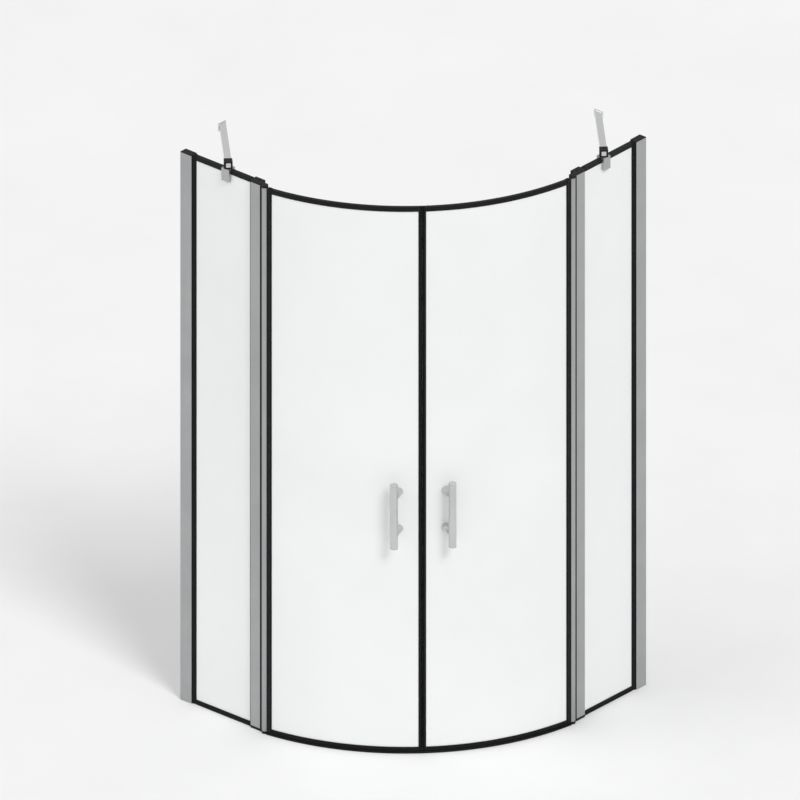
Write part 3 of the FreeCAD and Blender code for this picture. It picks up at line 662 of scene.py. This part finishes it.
def slab(corners, z0, z1):
    """Upright slab over plan corners, its upper edge eased towards the middle."""
    middle = sum(corners, Vector()) / len(corners)

    def ring(inset, z):
        places = [p + (middle - p).normalized() * inset for p in corners]
        return [Vector((p.x, p.y, z)) for p in places]

    turn = SLAB_EDGE * SLAB_EDGE_MIDDLE
    return grid_of([ring(0, z0), ring(0, z1 - SLAB_EDGE), ring(turn, z1 - turn),
                    ring(SLAB_EDGE + turn, z1)])


def pane_end_caps():
    """Caps at the wall profile and at the top and foot of the post, over the pane's bare edge."""
    seat, low, high = GLASS_TOP + RUBBER_GAP, POST_TOP + RUBBER_GAP, HEIGHT - TRIM_EDGE
    upper = [(-TRIM_HALF, low), (-TRIM_HALF, high), (TRIM_EDGE - TRIM_HALF, HEIGHT),
             (TRIM_HALF - TRIM_EDGE, HEIGHT), (TRIM_HALF, high), (TRIM_HALF, low),
             (GLASS_SKIN, low), (GLASS_SKIN, seat), (-GLASS_SKIN, seat), (-GLASS_SKIN, low)]
    rest = SILL_BASE - RUBBER_GAP
    foot_half, foot_high = SILL_FOOT
    lower = [(-foot_half, 0), (foot_half, 0), (foot_half, foot_high), (TRIM_HALF, rest),
             (TRIM_HALF, SILL_TOP), (GLASS_SKIN, SILL_TOP), (GLASS_SKIN, rest),
             (-GLASS_SKIN, rest), (-GLASS_SKIN, SILL_TOP), (-TRIM_HALF, SILL_TOP),
             (-TRIM_HALF, rest), (-foot_half, foot_high)]
    ends = [grid_of([[plan(t, PANE_D + off, z) for off, z in section] for t in END_T])
            for section in (upper, lower)]
    wall = [plan(t, PANE_D - half, 0) for t, half in WALL_CAP]
    wall += [plan(t, PANE_D + half, 0) for t, half in reversed(WALL_CAP)]
    return ends + [slab(wall, seat, HEIGHT)]


def stile_end_cap():
    """Rubber cap over the stile and the bare glass, up to the top trim."""
    corners = [on_door(s, half, 0) for s, half in STILE_CAP]
    corners += [on_door(s, -half, 0) for s, half in reversed(STILE_CAP)]
    return slab(corners, STILE_TOP + RUBBER_GAP, POST_TOP - STILE_CAP_ROOM)


def gasket_flanges():
    """Flanges of the stile's gasket that lie on both faces of the stile's edge."""
    start, end = FLANGE_S
    toe, slope = FLANGE_TOE
    run = end - start - slope
    steps = [start] + [start + slope + run * i / FLANGE_STEPS for i in range(FLANGE_STEPS + 1)]
    heights = [toe] + [FLANGE_T] * (FLANGE_STEPS + 1)
    skins = []
    for side in (-1, 1):
        line = [(s, side * (STILE_HALF + FLANGE_GAP)) for s in steps]
        line += [(s, side * (STILE_HALF + h)) for s, h in reversed(list(zip(steps, heights)))]
        skins.append(grid_of([[on_door(s, off, z) for s, off in line]
                              for z in (STILE_BOTTOM, STILE_TOP)]))
    return skins


def seal_lip():
    """Thin lip over the nose of a door's magnet seal, on a circle about the door's pivot."""
    pivot = plan(PIVOT_T, PIVOT_D, 0)
    inner_r = DOOR_R - SEAL_HALF
    inner = polar(inner_r, MEET_ANGLE + MEET_GAP / 2 / inner_r, 0)
    radius = (inner - pivot).length
    start = math.atan2(inner.y - pivot.y, inner.x - pivot.x)
    middle = plan(ARC_C, ARC_C, 0)
    tip, growth = LIP_TIP

    def point(r, share):
        """Across the nose from its inner face, share 0, to its outer face, share 1."""
        goal = inner_r + share * 2 * SEAL_HALF
        low, high = start - LIP_SEARCH, start
        for _ in range(LIP_HALVINGS):
            turn = (low + high) / 2
            place = pivot + Vector((math.cos(turn), math.sin(turn), 0)) * r
            low, high = (turn, high) if (place - middle).length > goal else (low, turn)
        return place

    shares = [i / LIP_STEPS for i in range(LIP_STEPS + 1)]
    line = [point(radius + LIP_GAP, s) for s in shares]
    line += [point(radius + LIP_SKIN * min(1, tip + growth * (1 - s)), s)
             for s in reversed(shares)]
    return grid_of([[Vector((p.x, p.y, z)) for p in line] for z in (LIP_BOTTOM, POST_TOP)])


# ---------------------------------------------------------------- pieces

def add_pieces():
    """Finer skins of the handles and screws, the swivel covers and the thin rubber."""
    blacken(add_piece("frame_screw_heads", both_sides(frame_screws()), "enclosure_frame",
                      "stainless", nodes=("frame_screws",)))
    blacken(add_piece("clamp_socket_screws", both_sides(clamp_screws()), "enclosure_frame",
                      "stainless", nodes=("clamp_screws",)))
    add_piece("swivel_covers", both_sides([swivel_cover()]), "enclosure_frame", "satin_chrome")
    add_piece("pane_end_caps", both_sides(pane_end_caps()), "enclosure_frame", "black_rubber")
    for side in SIDES:
        flip = side == "right"
        door = side + "_door"
        add_piece(side + "_bar", [handle_bar()], door, "satin_chrome", flip,
                  nodes=(side + "_handle_bar",))
        add_piece(side + "_feet", [handle_foot(s) for s in (-1, 1)], door, "satin_chrome", flip,
                  nodes=(side + "_handle_feet",))
        add_piece(side + "_knobs", [handle_knob(s) for s in (-1, 1)], door, "satin_chrome", flip,
                  nodes=(side + "_handle_studs",))
        add_piece(side + "_stile_cap", [stile_end_cap()], door, "black_rubber", flip)
        add_piece(side + "_gasket_flanges", gasket_flanges(), door, "black_rubber", flip)
        add_piece(side + "_seal_lip", [seal_lip()], door, "black_rubber", flip)


# ---------------------------------------------------------------- camera, floor and light

FLOOR_REACH = 20
FLOOR_DROP = 0.0005


def add_camera():
    """A parallel camera that sees the back corner of the footprint at CORNER_PIXEL."""
    right = Vector((math.cos(AZIMUTH), math.sin(AZIMUTH), 0))
    back = Vector((math.sin(AZIMUTH) * math.cos(ELEVATION),
                   -math.cos(AZIMUTH) * math.cos(ELEVATION), math.sin(ELEVATION)))
    up = back.cross(right)
    lowest, highest = CAD_BOX
    corner = Vector((lowest.x, highest.y, 0))
    u, v = CORNER_PIXEL
    aim = corner + (right * (IMAGE / 2 - u) + up * (v - IMAGE / 2)) / PIXELS_PER_METRE
    data = bpy.data.cameras.new("camera")
    data.type = "ORTHO"
    data.ortho_scale = IMAGE / PIXELS_PER_METRE
    camera = bpy.data.objects.new("camera", data)
    camera.location = aim + back * CAMERA_DISTANCE
    camera.rotation_euler = back.to_track_quat("Z", "Y").to_euler()
    bpy.context.scene.collection.objects.link(camera)
    bpy.context.scene.camera = camera


def add_floor():
    """Plain pale floor just under the feet."""
    mesh = bpy.data.meshes.new("floor")
    shape = bmesh.new()
    bmesh.ops.create_grid(shape, x_segments=1, y_segments=1, size=FLOOR_REACH)
    shape.to_mesh(mesh)
    shape.free()
    floor = bpy.data.objects.new("floor", mesh)
    floor.location.z = -FLOOR_DROP
    made, tree, shader, place = material("floor")
    clouds = noise(tree, place, 2.0)
    tree.links.new(tones(tree, clouds, dark=(0.86, 0.86, 0.86), light=(0.89, 0.89, 0.89)),
                   shader.inputs["Base Color"])
    shader.inputs["Roughness"].default_value = 0.8
    mesh.materials.append(made)
    bpy.context.scene.collection.objects.link(floor)


def add_sun(name, place, strength, softness):
    """An even studio light from a direction; softness is its apparent width in degrees."""
    data = bpy.data.lights.new(name, "SUN")
    data.energy = strength
    data.angle = math.radians(softness)
    lamp = bpy.data.objects.new(name, data)
    lamp.location = place
    lamp.rotation_euler = Vector(place).to_track_quat("Z", "Y").to_euler()
    bpy.context.scene.collection.objects.link(lamp)


def add_world(strength):
    """Even white light from all round."""
    world = bpy.data.worlds.new("studio")
    world.use_nodes = True
    background = world.node_tree.nodes["Background"]
    background.inputs["Color"].default_value = (1, 1, 1, 1)
    background.inputs["Strength"].default_value = strength
    bpy.context.scene.world = world


finish_nodes()
soften_nodes()
add_pieces()
add_camera()
add_floor()
add_world(strength=0.62)
add_sun("key", place=(4.5, -1.6, 5.0), strength=1.35, softness=20)
add_sun("fill", place=(-3.0, -5.0, 4.0), strength=0.6, softness=40)

bpy.context.scene.view_settings.view_transform = "Standard"
